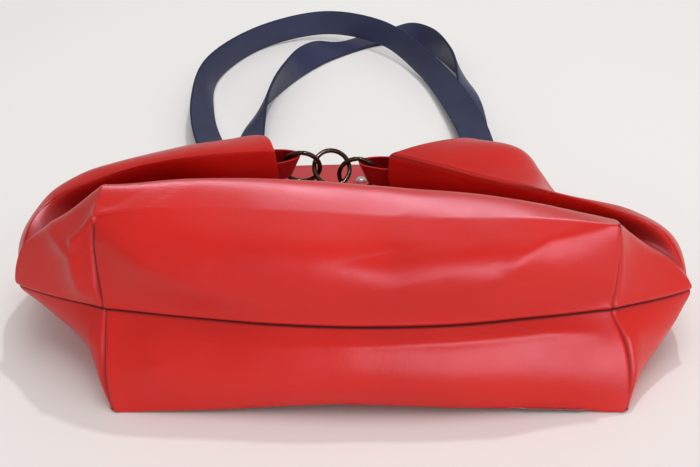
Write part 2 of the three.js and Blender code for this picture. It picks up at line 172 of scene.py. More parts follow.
RINGS = [
    dict(name='ring_left', at=(-51.2, 226, 63), axis=(0, 1, 0.16)),
    dict(name='ring_middle', at=(-25.5, 229.2, 60.3), axis=(0.34, -1, 1.09)),
    dict(name='ring_right', at=(-3.8, 232, 52), axis=(0, 1, 0)),
]

TAB_LEFT = dict(height=65, lean=0.42, way=[
    (-92, 212.2), (-76, 213), (-66, 217), (-59, 222), (-56.5, 227),
    (-59, 232), (-66, 235), (-76, 236), (-92, 233),
])
TAB_RIGHT = dict(height=55, lean=-0.42, way=[
    (37, 219.8), (21, 221), (12, 224), (4.5, 227), (2, 232),
    (4.5, 237), (12, 240), (21, 241), (37, 240),
])

# Places of the columns round a section, counted from the middle of the back
COLUMNS = ("floor", "crease", "crown", "seam", "tuck", "roof", "hollow", "ledge", "chest")
COLUMN_COUNT = 24
ROW_COUNT = len(MIDDLE)
FLOOR_RIGHT, SEAM_RIGHT, HOLLOW_RIGHT = 3, 6, 9
HOLLOW_LEFT, SEAM_LEFT, FLOOR_LEFT = 15, 18, 21

# Mesh steps in each span: columns of back and front, columns of the sides, and rows from the base up
PANEL_STEPS = 18
SIDE_STEPS = 16
COLUMN_STEPS = [PANEL_STEPS] * 3 + [SIDE_STEPS] * 6 + [PANEL_STEPS] * 6 + [SIDE_STEPS] * 6 + [PANEL_STEPS] * 3
ROW_STEPS = [30, 18, 12, 10, 10, 10, 10]
NEAR_SEAM = (0.015, 0.03, 0.045, 0.08, 0.095, 0.11, 0.14)
NEAR_CORNER = (0.008, 0.016, 0.025, 0.04)
NEAR_ROW = (0.01, 0.02)

# Share of sharp box corners and side seams in each section, and of the edge of the side folds at row 1
CORNER_SHARE = (1.0, 0.6, 0.2, 0, 0, 0, 0, 0)
SEAM_SHARE_RIGHT = (0, 0, 0.2, 0.5, 0.6, 0.6, 0.6, 0.6)
SEAM_SHARE_LEFT = (0, 0, 0.2, 0.3, 0.3, 0.3, 0.35, 0.5)
EDGE_SHARE = 0.8
EDGE_ROW = 1
EDGE_COLUMNS = 2.6

# Turned seams: how far the edge rolls in, the soft lip beside it, and the dark line along it, partly the
# seam's own dark joint and partly painted shade in the groove and beneath the lap
VISUAL_GAP = 0.2
ROLL = 1.6
GROOVE_DEPTH = 2.2
GROOVE_WIDTH = 1.1
GROOVE_FADE = 7
PEAK_CLEAR = 0.4
LIP_RISE = 0.5
LIP_AWAY = 3.4
LIP_WIDTH = 2.0
SHADE_WIDTH = 1.2
CORNER_SHADE = 0.7
LAP_SHADE = (1.5, 3.4)

# Deep in the side folds the leather is in its own shade: rows and share of the shade there
FOLD_SHADE_ROWS = (1.02, 1.4, 3.5, 5.5)
FOLD_SHADE = (0, 0.55, 0.4, 0.2)
FOLD_SHADE_RISE = 2

# At the base the front panel laps over the back panel, which is tucked in behind it
LAP_RISE = 1.5
LAP_REACH = 11
LAP_ROLL = 2.6
LAP_TUCK = 2.0
TUCK_REACH = 14

# How the side seam shows from row to row: the turned edge, the lap, and the welt line beside it
SEAM_LEFT_ROWS = [
    dict(row=0, edge=1, lap=1, welt=0),
    dict(row=0.85, edge=1, lap=0.8, welt=0),
    dict(row=1.3, edge=0.15, lap=0, welt=0),
    dict(row=7, edge=0.12, lap=0, welt=0),
]
SEAM_RIGHT_ROWS = [
    dict(row=0, edge=1, lap=1, welt=0),
    dict(row=0.85, edge=1, lap=0.8, welt=0),
    dict(row=1.3, edge=0.15, lap=0, welt=0),
    dict(row=3.7, edge=0.15, lap=0, welt=0),
    dict(row=4.3, edge=0.6, lap=0, welt=0.6),
    dict(row=7, edge=0.8, lap=0, welt=1),
]
WELT_AWAY = 2.7
WELT_WIDTH = 0.45
WELT_DEPTH = 0.7

# The crest of the front is evened out this far from the edge of the base, but not at the corners
CREST_REACH = 75
CREST_CLEAR = 28
CORNER_CLEAR = 0.2
CREST_ROUNDS = 500
RETURN_ROUNDS = 200
CREST_RETURN = 1.25

# Length of row 0 to 1 over the crest, as a share of the height of the upper base
CREST_SHARE = 0.33

# Soft unevenness of the leather: size and height in mm
UNEVEN = ((85, 1.3), (30, 0.35))

# Folds and dents: path rows of place across, place along and rise in mm on each part of the body
FOLDS = [
    dict(on="upper", width=20, sharp=4, path=[
        (0.0, 0.98, 0), (0.03, 0.78, 5), (0.1, 0.53, 8), (0.2, 0.35, 6), (0.36, 0.22, 0)]),
    dict(on="upper", width=16, sharp=3, path=[
        (1.0, 0.98, 0), (0.93, 0.92, 3), (0.85, 0.84, 4.5),
        (0.8, 0.68, 4), (0.77, 0.48, 3), (0.66, 0.33, 0)]),
    dict(on="upper", width=14, sharp=14, path=[(0.52, 0.95, 0), (0.54, 0.7, -4), (0.56, 0.4, 0)]),
    dict(on="upper", width=10, sharp=8, path=[(0.78, 0.6, 0), (0.785, 0.42, -1.5), (0.79, 0.25, 0)]),
    dict(on="lower", width=5, sharp=3, path=[
        (0.05, 0.22, 0), (0.4, 0.18, 1.4), (0.6, 0.15, 3.2), (0.85, 0.14, 3.2), (0.97, 0.2, 0)]),
    dict(on="lower", width=13, sharp=6, path=[(0.07, 0.15, 0), (0.1, 0.45, 3), (0.09, 0.9, 0)]),
    dict(on="body", width=9, sharp=1.0, path=[
        (16.22, 1.0, 2), (16.44, 0.5, 6), (16.6, 0.27, 8), (17.44, 0.17, 6), (17.88, 0.03, 0)]),
    dict(on="body", width=8, sharp=1.0, path=[
        (15.03, 0.03, 1), (15.6, 0.2, 5), (16.11, 0.32, 7), (16.56, 0.27, 0)]),
    dict(on="body", width=7, sharp=3, path=[(18.2, 0.1, 0), (19, 0.17, 3), (20, 0.15, 3), (20.8, 0.05, 0)]),
    dict(on="body", width=6, sharp=3, path=[(5.8, 0.08, 0), (5.2, 0.12, 2.2), (4.2, 0.1, 2), (3.3, 0.05, 0)]),
]


def catmull_rom(points, at, closed=False):
    """Centripetal Catmull-Rom curve through the points, at parameters of one unit a span."""
    points = np.asarray(points, float)
    if closed:
        padded = np.concatenate([points[-1:], points, points[:2]])
        spans = len(points)
    else:
        padded = np.concatenate([2 * points[:1] - points[1:2], points, 2 * points[-1:] - points[-2:-1]])
        spans = len(points) - 1
    at = np.asarray(at, float)
    span = np.clip(np.floor(at).astype(int), 0, spans - 1)
    p0, p1, p2, p3 = (padded[span + k] for k in range(4))
    d0, d1, d2 = (np.sqrt(np.linalg.norm(b - a, axis=-1, keepdims=True))
                  for a, b in ((p0, p1), (p1, p2), (p2, p3)))
    d1 = np.where(d1 < LEAST_SPAN, 1, d1)
    d0 = np.where(d0 < LEAST_SPAN, d1, d0)
    d2 = np.where(d2 < LEAST_SPAN, d1, d2)
    m1 = d1 * ((p1 - p0) / d0 - (p2 - p0) / (d0 + d1) + (p2 - p1) / d1)
    m2 = d1 * ((p2 - p1) / d1 - (p3 - p1) / (d1 + d2) + (p3 - p2) / d2)
    t = (at - span).reshape((-1,) + (1,) * (points.ndim - 1))
    hermite = (2 * t**3 - 3 * t**2 + 1) * p1 + (t**3 - 2 * t**2 + t) * m1
    return hermite + (-2 * t**3 + 3 * t**2) * p2 + (t**3 - t**2) * m2


def unit(vectors):
    """The vectors at length 1."""
    return vectors / np.maximum(np.linalg.norm(vectors, axis=-1, keepdims=True), 1e-9)


def steps_with_detail(steps, lines, closed=False):
    """Even parameters in each span, and close ones at each side of the given lines."""
    places = [span + np.arange(count) / count for span, count in enumerate(steps)]
    places.append(np.array([len(steps)]))
    for line, near in lines:
        places.append(line + np.array(near))
        places.append(line - np.array(near))
    places = np.unique(np.round(np.concatenate(places), 5))
    places = places[(places >= 0) & (places <= len(steps))]
    return places[:-1] if closed else places


def section_loop(row):
    """The table's points of one section, from the middle of the back round by the right."""
    middle = np.array(MIDDLE[row]["back"], float)

    def half(side):
        floor = np.array(side[row]["floor"], float)
        return [middle + (floor - middle) * share for share in (1 / 3, 2 / 3)] + \
            [np.array(side[row][name], float) for name in COLUMNS]

    return np.array([middle, *half(RIGHT), np.array(MIDDLE[row]["front"], float), *half(LEFT)[::-1]])


def section_at(row, at):
    """The section's outline: a smooth loop, mixed with one broken at the box corners and one at the seams."""
    loop = section_loop(row)
    smooth = catmull_rom(loop, at, closed=True)

    def broken(*corners):
        edged = smooth.copy()
        turned = np.where(at < corners[0], at + COLUMN_COUNT, at)
        for start, end in zip(corners, corners[1:] + (corners[0] + COLUMN_COUNT,)):
            stretch = np.array([loop[k % COLUMN_COUNT] for k in range(start, end + 1)])
            on = (turned >= start) & (turned <= end)
            edged[on] = catmull_rom(stretch, turned[on] - start)
        return edged

    boxed = broken(FLOOR_RIGHT, HOLLOW_RIGHT, HOLLOW_LEFT, FLOOR_LEFT)
    seamed = broken(SEAM_RIGHT, SEAM_LEFT)
    seam_share = np.where(at < COLUMN_COUNT / 2, SEAM_SHARE_RIGHT[row], SEAM_SHARE_LEFT[row])[:, None]
    return smooth + CORNER_SHARE[row] * (boxed - smooth) + seam_share * (seamed - smooth)


def along_rows(loops, round_at, along_at):
    """Blends the sections along the rows, with a sharp edge where the sides fold in."""
    smooth = catmull_rom(loops, along_at)
    edged = smooth.copy()
    below, above = along_at <= EDGE_ROW, along_at >= EDGE_ROW
    edged[below] = catmull_rom(loops[:EDGE_ROW + 1], along_at[below])
    edged[above] = catmull_rom(loops[EDGE_ROW:], along_at[above] - EDGE_ROW)
    from_left = np.abs(round_at - (SEAM_LEFT + HOLLOW_LEFT) / 2)
    from_right = np.abs(round_at - (SEAM_RIGHT + HOLLOW_RIGHT) / 2)
    share = EDGE_SHARE * np.clip(EDGE_COLUMNS - np.minimum(from_left, from_right), 0, 1)
    return smooth + share[None, :, None] * (edged - smooth)


def distance_to_path(points, path):
    """Distance of each point to the broken line, and the extra columns of the nearest place on it."""
    size = points.shape[1]
    best = np.full(len(points), np.inf)
    extra = np.zeros((len(points), path.shape[1] - size))
    for a, b in zip(path[:-1], path[1:]):
        along = b[:size] - a[:size]
        t = np.clip((points - a[:size]) @ along / max(along @ along, 1e-9), 0, 1)
        away = np.linalg.norm(points - a[:size] - t[:, None] * along, axis=1)
        nearer = away < best
        best[nearer] = away[nearer]
        extra[nearer] = (a[size:] + t[:, None] * (b - a)[size:])[nearer]
    return best, extra


# The body as one open surface: sections blended along the rows, and two patches for the base
ROUND_AT = steps_with_detail(COLUMN_STEPS, [
    (SEAM_RIGHT, NEAR_SEAM), (SEAM_LEFT, NEAR_SEAM), (FLOOR_RIGHT, NEAR_CORNER), (FLOOR_LEFT, NEAR_CORNER),
    (HOLLOW_RIGHT, NEAR_CORNER), (HOLLOW_LEFT, NEAR_CORNER)], closed=True)
ALONG_AT = steps_with_detail(ROW_STEPS, [(0, NEAR_ROW)])


def make_surface():
    """Points, faces of the front and of the back, and where each point lies on its part."""
    loops = np.array([section_at(row, ROUND_AT) for row in range(ROW_COUNT)])
    body = along_rows(loops, ROUND_AT, ALONG_AT)
    rows, around = body.shape[:2]
    points = list(body.reshape(-1, 3))
    part = ["body"] * len(points)
    place = [(s, r) for r in ALONG_AT for s in ROUND_AT]
    index_of = {s: i for i, s in enumerate(ROUND_AT)}
    front, back = [], []
    for i, s in enumerate(ROUND_AT):
        faces = front if SEAM_RIGHT <= s < SEAM_LEFT else back
        after = (i + 1) % around
        for j in range(rows - 1):
            near, far = j * around, (j + 1) * around
            faces.append((near + i, far + i, far + after, near + after))

    def outline(start, end):
        low, high = min(start, end), max(start, end)
        turn = [s for s in np.concatenate([ROUND_AT, ROUND_AT + COLUMN_COUNT]) if low <= s <= high]
        found = [index_of[ROUND_AT[np.argmin(abs(ROUND_AT - s % COLUMN_COUNT))]] for s in turn]
        share = [abs(s - start) / (high - low) for s in turn]
        order = 1 if end > start else -1
        return found[::order], share[::order]

    seam_ends = index_of[SEAM_LEFT], index_of[SEAM_RIGHT]
    lower_edge, across = outline(FLOOR_LEFT, FLOOR_RIGHT + COLUMN_COUNT)
    upper_edge, _ = outline(HOLLOW_LEFT, HOLLOW_RIGHT)
    seam_rows = [points[seam_ends[0]], *([row["x"], row["y"], row["z"]] for row in BOTTOM_SEAM),
                 points[seam_ends[1]]]
    seam_path = catmull_rom(seam_rows, np.array(across) * (len(seam_rows) - 1))
    bottom_seam = [seam_ends[0]]
    for p, u in zip(seam_path[1:-1], across[1:-1]):
        bottom_seam.append(len(points))
        points.append(p)
        part.append("seam")
        place.append((u, 0))
    bottom_seam.append(seam_ends[1])

    def patch(name, edge, left, right, up, bulge):
        grid = [bottom_seam]
        for j in range(1, len(up) - 1):
            v = up[j]
            row = [left[j]]
            for i in range(1, len(across) - 1):
                u = across[i]
                lengthwise = points[bottom_seam[i]] * (1 - v) + points[edge[i]] * v
                crosswise = points[left[j]] * (1 - u) + points[right[j]] * u
                near = points[bottom_seam[0]] * (1 - u) + points[bottom_seam[-1]] * u
                far = points[edge[0]] * (1 - u) + points[edge[-1]] * u
                row.append(len(points))
                points.append(lengthwise + crosswise - near * (1 - v) - far * v + bulge(u, v))
                part.append(name)
                place.append((u, v))
            row.append(right[j])
            grid.append(row)
        grid.append(edge)
        return grid

    def across_base(u):
        return 1 - abs(2 * u - 1) ** BASE_ROUNDING

    def lower_bulge(u, v):
        return np.array([0, -4 * v * (1 - v) * LOWER_BULGE * across_base(u), 0])

    def upper_bulge(u, v):
        depth = (1 - abs(2 * v**UPPER_SKEW - 1) ** UPPER_ROUNDING) * UPPER_BULGE * across_base(u)
        return depth * np.array(UPPER_BULGE_WAY)

    left, up = outline(SEAM_LEFT, FLOOR_LEFT)
    right, _ = outline(SEAM_RIGHT, FLOOR_RIGHT)
    lower = patch("lower", lower_edge, left, right, up, lower_bulge)
    left, up = outline(SEAM_LEFT, HOLLOW_LEFT)
    right, _ = outline(SEAM_RIGHT, HOLLOW_RIGHT)
    upper = patch("upper", upper_edge, left, right, up, upper_bulge)
    for low, high in zip(lower[:-1], lower[1:]):
        back += [(high[i], high[i + 1], low[i + 1], low[i]) for i in range(len(low) - 1)]
    for low, high in zip(upper[:-1], upper[1:]):
        front += [(low[i], low[i + 1], high[i + 1], high[i]) for i in range(len(low) - 1)]
    columns = [[j * around + index_of[s] for j in range(rows)] for s in (SEAM_LEFT, SEAM_RIGHT)]
    seam_line = columns[0][::-1] + bottom_seam[1:-1] + columns[1]
    corners = [outline(FLOOR_RIGHT, HOLLOW_RIGHT)[0], outline(HOLLOW_LEFT, FLOOR_LEFT)[0]]
    rim = set(range((rows - 1) * around, rows * around))
    return dict(points=np.array(points), front=np.array(front), back=np.array(back), part=np.array(part),
                place=np.array(place), seam_line=seam_line, corners=corners, crest=upper_edge, rim=rim)


def vertex_normals(points, faces):
    """Normals at the points, and how square the faces round each point stand to its normal."""
    a, b, c, d = (points[faces[:, k]] for k in range(4))
    normal = np.cross(c - a, d - b)
    total = np.zeros_like(points)
    for k in range(4):
        np.add.at(total, faces[:, k], normal)
    total = unit(total)
    flat = unit(normal)
    lean = np.zeros(len(points))
    count = np.zeros(len(points))
    for k in range(4):
        np.add.at(lean, faces[:, k], (flat * total[faces[:, k]]).sum(axis=1))
        np.add.at(count, faces[:, k], 1)
    return total, lean / np.maximum(count, 1)


PART_SCALE = {
    "upper": (BASE_WIDTH, BASE_HALF),
    "lower": (BASE_WIDTH, BASE_HALF),
    "body": (COLUMN_WIDTH, ROW_LENGTH),
}


def relax(points, faces, weight, rounds, values):
    """Evens out values of the points over the surface, where the weight is above zero."""
    pairs = np.concatenate([faces[:, [k, (k + 1) % 4]] for k in range(4)])
    a, b = np.unique(np.sort(pairs, axis=1), axis=0).T
    count = len(points)
    pull = 1 / np.maximum(np.linalg.norm(points[a] - points[b], axis=1), LEAST_SPAN)
    total = np.bincount(a, pull, count) + np.bincount(b, pull, count)
    values = values.copy()
    for _ in range(rounds):
        sums = [np.bincount(a, pull * values[b, k], count) + np.bincount(b, pull * values[a, k], count)
                for k in range(3)]
        values += weight[:, None] * (np.stack(sums, axis=1) / total[:, None] - values)
    return values


def seam_strength(surface):
    """Edge, lap and welt of the seam at each point of the seam line."""
    keys = ("edge", "lap", "welt")
    strength = []
    for k in surface["seam_line"]:
        if surface["part"][k] == "seam":
            strength.append((1, 1, 0))
            continue
        column, row = surface["place"][k]
        rows = SEAM_LEFT_ROWS if column == SEAM_LEFT else SEAM_RIGHT_ROWS
        strength.append([np.interp(row, [r["row"] for r in rows], [r[key] for r in rows]) for key in keys])
    return np.array(strength)


def quarter_round(away, size):
    """1 at the edge, falling to 0 at the given distance like a rolled edge."""
    share = np.clip(1 - away / size, 0, 1)
    return 1 - np.sqrt(1 - share**2)


def reach_of_folds(surface, part):
    """Points that the folds of a part reach, and their places: the upper base runs on over the crest."""
    on = surface["part"] == part
    place = surface["place"].copy()
    if part == "upper":
        column, row = place.T
        over = (surface["part"] == "body") & (row <= EDGE_ROW)
        over &= (column >= HOLLOW_RIGHT) & (column <= HOLLOW_LEFT)
        place[over, 0] = (HOLLOW_LEFT - column[over]) / (HOLLOW_LEFT - HOLLOW_RIGHT)
        place[over, 1] = 1 + row[over] * CREST_SHARE
        on |= over
    return on, place[on]


def fold_rise(surface):
    """Height of all folds and dents at each point."""
    rise = np.zeros(len(surface["points"]))
    for fold in FOLDS:
        on, place = reach_of_folds(surface, fold["on"])
        scale = np.array(PART_SCALE[fold["on"]])
        path = np.array(fold["path"], float)
        path[:, :2] *= scale
        away, height = distance_to_path(place * scale, path)
        away = np.hypot(away, fold["sharp"]) - fold["sharp"]
        rise[on] += height[:, 0] * np.exp(-away / fold["width"])
    return rise


def fold_shade(surface):
    """Shade inside the side folds, between the seam and the bottom of the fold."""
    column, row = surface["place"].T
    column = np.minimum(column, COLUMN_COUNT - column)
    inside = np.clip(FOLD_SHADE_RISE * (column - SEAM_RIGHT), 0, 1) * np.clip(HOLLOW_RIGHT + 1 - column, 0, 1)
    return np.where(surface["part"] == "body", inside * np.interp(row, FOLD_SHADE_ROWS, FOLD_SHADE), 0)


def shape_leather(surface):
    """Evens out the crest, then moves the surface along its normals for folds, unevenness and seams."""
    faces = np.concatenate([surface["front"], surface["back"]])
    to_corner = np.full(len(surface["points"]), np.inf)
    to_peak = np.full(len(surface["points"]), np.inf)
    for corner in surface["corners"]:
        path = surface["points"][corner]
        to_corner = np.minimum(to_corner, distance_to_path(surface["points"], path)[0])
        peak = path[np.argmax(path[:, 2])]
        to_peak = np.minimum(to_peak, np.linalg.norm(surface["points"] - peak, axis=1))
    sewn = np.clip(to_peak / GROOVE_FADE - PEAK_CLEAR, 0, 1)
    to_crest, _ = distance_to_path(surface["points"], surface["points"][surface["crest"]])
    off_corner = np.clip(to_corner / CREST_CLEAR - CORNER_CLEAR, 0, 1)
    weight = np.clip(1 - to_crest / CREST_REACH, 0, 1) * off_corner
    points = relax(surface["points"], faces, weight, CREST_ROUNDS, surface["points"])
    lost = relax(surface["points"], faces, weight, RETURN_ROUNDS, surface["points"] - points)
    points += CREST_RETURN * lost

    rise = fold_rise(surface)
    for size, height in UNEVEN:
        rise += height * np.array([noise.noise(Vector(p / size)) for p in points])

    seam = np.column_stack([points[surface["seam_line"]], seam_strength(surface)])
    to_seam, strength = distance_to_path(points, seam)
    edge, lap, welt = strength.T
    on_front = np.isin(np.arange(len(points)), surface["front"])
    on_back = np.isin(np.arange(len(points)), surface["back"])
    front_only, back_only = on_front & ~on_back, on_back & ~on_front
    rolled = ROLL * edge * quarter_round(to_seam, ROLL)
    tucked = LAP_TUCK * lap * np.exp(-to_seam / TUCK_REACH)
    lapped = LAP_RISE * lap * np.exp(-to_seam / LAP_REACH)
    turned = (LAP_RISE + LAP_TUCK) * lap * quarter_round(to_seam, LAP_ROLL)
    rise -= rolled
    rise += np.where(front_only, lapped - turned, -tucked)
    welt_line = np.where(back_only, welt, 0) * np.exp(-((to_seam - WELT_AWAY) / WELT_WIDTH) ** 2)
    rise -= WELT_DEPTH * welt_line
    rise -= sewn * GROOVE_DEPTH * np.exp(-(to_corner / GROOVE_WIDTH) ** 2)
    for away, share in ((to_seam, edge * (1 - lap)), (to_corner, sewn)):
        rise += share * LIP_RISE * np.exp(-((away - LIP_AWAY) / LIP_WIDTH) ** 2)

    normal, _ = vertex_normals(points, faces)
    moved = points + normal * rise[:, None]
    moved[:, 2] = np.maximum(moved[:, 2], WALL / 2)
    surface["points"] = moved
    # Painted shade in the shade attribute: dark lines along the seams, box corners and welt, partly dark
    # joints and partly painted shade in their grooves; painted shadow beneath the lapped front edge; painted
    # shade deep in the side folds
    under_lap = np.where(front_only, 0, lap) * np.interp(to_seam, LAP_SHADE, (1, 0))
    along_seam = edge * np.exp(-(to_seam / SHADE_WIDTH) ** 2)
    along_corner = CORNER_SHADE * sewn * np.exp(-(to_corner / SHADE_WIDTH) ** 2)
    surface["shade"] = np.max([along_seam, along_corner, welt_line, under_lap, fold_shade(surface)], axis=0)


def to_frame(points):
    """Points of the tables in metres, in the row frame."""
    return (np.asarray(points) - (0, REST_SHIFT, 0)) * MM


# Edges that bend more than this many degrees are drawn sharp
LEATHER_SHARP = 50
BAND_SHARP = 70
STUD_SHARP = 40


def add_mesh(node, kind, points, faces, materials, face_material=None, attributes=None,
             sharp=LEATHER_SHARP):
    """A smooth mesh piece in the row frame, which stands for a node of the solids."""
    name = f"{node}_{kind}"
    mesh = bpy.data.meshes.new(name)
    mesh.from_pydata([tuple(p) for p in to_frame(points)], [], [tuple(int(k) for k in f) for f in faces])
    for material in materials:
        mesh.materials.append(material)
    mesh.polygons.foreach_set("use_smooth", [True] * len(mesh.polygons))
    if face_material is not None:
        mesh.polygons.foreach_set("material_index", [int(k) for k in face_material])
    for key, values in (attributes or {}).items():
        layer = mesh.attributes.new(key, "FLOAT", "POINT")
        layer.data.foreach_set("value", np.asarray(values, np.float32))
    mesh.set_sharp_from_angle(angle=math.radians(sharp))
    mesh.update()
    piece = bpy.data.objects.new(name, mesh)
    bpy.context.scene.collection.objects.link(piece)
    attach(piece, "root")
    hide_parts(node)
    return piece


def add_panel(name, surface, faces, side, materials):
    """One leather panel with its thickness, its turned seam edge and its rounded rim."""
    points = surface["points"]
    all_faces = np.concatenate([surface["front"], surface["back"]])
    normal, lean = vertex_normals(points, all_faces)
    offset = normal * (WALL / 2 * np.minimum(1 / np.maximum(lean, LEAST_LEAN), MITRE_LIMIT))[:, None]
    line = surface["seam_line"]
    ahead = np.concatenate([points[line[1:]], points[line[-1:]]])
    behind = np.concatenate([points[line[:1]], points[line[:-1]]])
    shifted = points.copy()
    shifted[line] += side * VISUAL_GAP / 2 * unit(np.cross(ahead - behind, offset[line]))
    used = np.unique(faces)
    count = len(used)
    index = np.full(len(points), -1)
    index[used] = np.arange(count)
    local = index[faces]
    edges = {}
    for face in local:
        for p, q in zip(face, np.roll(face, -1)):
            if edges.pop((q, p), None) is None:
                edges[(p, q)] = True
    outward = np.zeros((count, 3))
    middle, thick = shifted[used], offset[used]
    for p, q in edges:
        out = np.cross(middle[q] - middle[p], thick[p])
        outward[p] += out
        outward[q] += out
    on_rim = np.isin(used, list(surface["rim"]))
    outward = unit(outward) * (WALL / 2 * on_rim)[:, None]
    layers = []
    for angle in RIM_ANGLES:
        turn = math.radians(angle)
        layers.append(middle + thick * math.cos(turn) + outward * math.sin(turn))
    solid = np.concatenate([layers[0], layers[-1]])
    border = sorted({k for edge in edges for k in edge})
    ring_index = {k: n for n, k in enumerate(border)}
    rings = [{k: k for k in border}]
    for layer in layers[1:-1]:
        start = len(solid)
        solid = np.concatenate([solid, layer[border]])
        rings.append({k: start + ring_index[k] for k in border})
    rings.append({k: k + count for k in border})
    quads = [tuple(face) for face in local]
    look = [0] * len(quads)
    quads += [tuple(k + count for k in face[::-1]) for face in local]
    look += [1] * len(local)
    for near, far in zip(rings[:-1], rings[1:]):
        quads += [(near[q], near[p], far[p], far[q]) for p, q in edges]
        look += [0] * len(edges)
    solid[:, 2] = np.maximum(solid[:, 2], 0)
    shade = surface["shade"][used]
    shade = np.concatenate([shade, shade, *[shade[border]] * (len(layers) - 2)])
    return add_mesh(name, "leather", solid, quads, materials, look, {"shade": shade})


# Straps and tabs: a rounded flat section swept along a way
SECTION_CORNER_STEPS = 4
FACE_LINES = (0.42, 0.2, -0.2, -0.42)
BAND_ROUNDING = 0.42
BAND_EDGE = 0.3
STRAP_STEPS = 14
TAB_STEPS = 8
WIDTH_WAY_LENGTH = 100


def flat_section(width, thick, radius):
    """Outline of a band's section: rounded corners, and lines along its two faces."""
    corners = [(width / 2 - radius, -thick / 2 + radius, -90), (width / 2 - radius, thick / 2 - radius, 0),
               (-width / 2 + radius, thick / 2 - radius, 90), (-width / 2 + radius, -thick / 2 + radius, 180)]
    section = []
    for n, (w, t, start) in enumerate(corners):
        for k in range(SECTION_CORNER_STEPS + 1):
            turn = math.radians(start + 90 * k / SECTION_CORNER_STEPS)
            section.append((w + radius * math.cos(turn), t + radius * math.sin(turn)))
        if n in (1, 3):
            side = 1 if n == 1 else -1
            section += [(side * share * width, side * thick / 2) for share in FACE_LINES]
    return np.array(section)


def add_band(name, middles, across, up, width, thick, material):
    """A flat band through the middles, with its width along across and its thickness along up."""
    section = flat_section(width, thick, BAND_ROUNDING * thick)
    size = len(section)
    rings = [m + section[:, :1] * a + section[:, 1:] * u for m, a, u in zip(middles, across, up)]
    points = np.concatenate(rings)
    quads = []
    for i in range(len(rings) - 1):
        for k in range(size):
            after = (k + 1) % size
            quads.append((i * size + k, i * size + after, (i + 1) * size + after, (i + 1) * size + k))
    last = (len(rings) - 1) * size
    quads.append(tuple(range(size))[::-1])
    quads.append(tuple(range(last, last + size)))
    on_edge = np.abs(section[:, 0]) > width / 2 - BAND_EDGE * thick
    edge = {"band_edge": np.tile(on_edge.astype(float), len(rings))}
    return add_mesh(name, "band", points, quads, [material], attributes=edge, sharp=BAND_SHARP)


def add_strap(name, rows, material):
    """A handle strap through the rows, kept above the table."""
    at = np.arange((len(rows) - 1) * STRAP_STEPS + 1) / STRAP_STEPS
    middles = catmull_rom([row["at"] for row in rows], at)
    along = unit(np.gradient(middles, axis=0))
    width_ways = unit(np.array([row["up"] for row in rows], float))
    across = catmull_rom(width_ways * WIDTH_WAY_LENGTH, at)
    across = unit(across - (across * along).sum(axis=1, keepdims=True) * along)
    up = unit(np.cross(along, across))
    lowest = (np.abs(across[:, 2]) * STRAP_WIDTH + np.abs(up[:, 2]) * STRAP_THICK) / 2
    middles[:, 2] = np.maximum(middles[:, 2], lowest)
    return add_band(name, middles, across, up, STRAP_WIDTH, STRAP_THICK, material)


def add_tab(name, tab, material):
    """A leather loop that bends round a ring."""
    way = np.array([(x, y, tab["height"]) for x, y in tab["way"]], float)
    middles = catmull_rom(way, np.arange((len(way) - 1) * TAB_STEPS + 1) / TAB_STEPS)
    along = unit(np.gradient(middles, axis=0))
    across = np.tile(unit(np.array([tab["lean"], 0, 1.0])), (len(middles), 1))
    side = np.stack([along[:, 1], -along[:, 0], np.zeros(len(along))], axis=1)
    return add_band(name, middles, across, side, TAB_WIDTH, TAB_THICK, material)


RING_RADIUS = 15.5
WIRE_RADIUS = 2.0
RING_STEPS = 96
WIRE_STEPS = 20
JOINT_DEPTH = 0.35
JOINT_ANGLE = 270
JOINT_HALF_ANGLE = 1.6


def add_ring(ring, material):
    """A round wire ring with the fine butt joint where its ends meet, turned to the table."""
    turn = Vector((0, 0, 1)).rotation_difference(Vector(ring["axis"]))
    points, quads = [], []
    for i in range(RING_STEPS):
        angle = 360 * i / RING_STEPS
        wire = WIRE_RADIUS
        if abs(angle - JOINT_ANGLE) < JOINT_HALF_ANGLE:
            wire -= JOINT_DEPTH
        for k in range(WIRE_STEPS):
            tilt = 2 * math.pi * k / WIRE_STEPS
            reach = RING_RADIUS + wire * math.cos(tilt)
            flat = Vector((reach * math.cos(math.radians(angle)), reach * math.sin(math.radians(angle)),
                           wire * math.sin(tilt)))
            points.append(turn @ flat + Vector(ring["at"]))
            after, beside = (i + 1) % RING_STEPS, (k + 1) % WIRE_STEPS
            quads.append((i * WIRE_STEPS + k, after * WIRE_STEPS + k,
                          after * WIRE_STEPS + beside, i * WIRE_STEPS + beside))
    return add_mesh(ring["name"], "wire", points, quads, [material])


STUD_RADIUS = 5
STUD_HEIGHT = 3.4
STUD_STEPS = 48
SEAT_GAP = 0.35
STUD_PROFILE = [
    (1, 0), (1.0, 0.22), (0.97, 0.3), (0.9, 0.33), (0.87, 0.36),
    (0.86, 0.42), (0.8, 0.62), (0.68, 0.8), (0.5, 0.92), (0.26, 0.985),
]


def add_stud(material):
    """A domed stud with a rim, square to the front panel below the mouth."""
    below, here, above = (np.array(row["front"], float) for row in MIDDLE[-3:])
    turn = Euler((math.atan2(above[2] - below[2], above[1] - below[1]), 0, 0)).to_matrix()
    seat = Vector(here) + Vector((0, 0, WALL / 2 + SEAT_GAP))
    points, quads = [], []
    for n, (r, h) in enumerate(STUD_PROFILE):
        for k in range(STUD_STEPS):
            angle = 2 * math.pi * k / STUD_STEPS
            reach = r * STUD_RADIUS
            flat = Vector((reach * math.cos(angle), reach * math.sin(angle), h * STUD_HEIGHT))
            points.append(turn @ flat + seat)
            if n:
                after = (k + 1) % STUD_STEPS
                low, high = (n - 1) * STUD_STEPS, n * STUD_STEPS
                quads.append((low + k, low + after, high + after, high + k))
    top = len(points)
    points.append(turn @ Vector((0, 0, STUD_HEIGHT)) + seat)
    last = (len(STUD_PROFILE) - 1) * STUD_STEPS
    quads += [(last + k, last + (k + 1) % STUD_STEPS, top) for k in range(STUD_STEPS)]
    quads.append(tuple(range(STUD_STEPS))[::-1])
    return add_mesh("front_stud", "dome", points, quads, [material], sharp=STUD_SHARP)


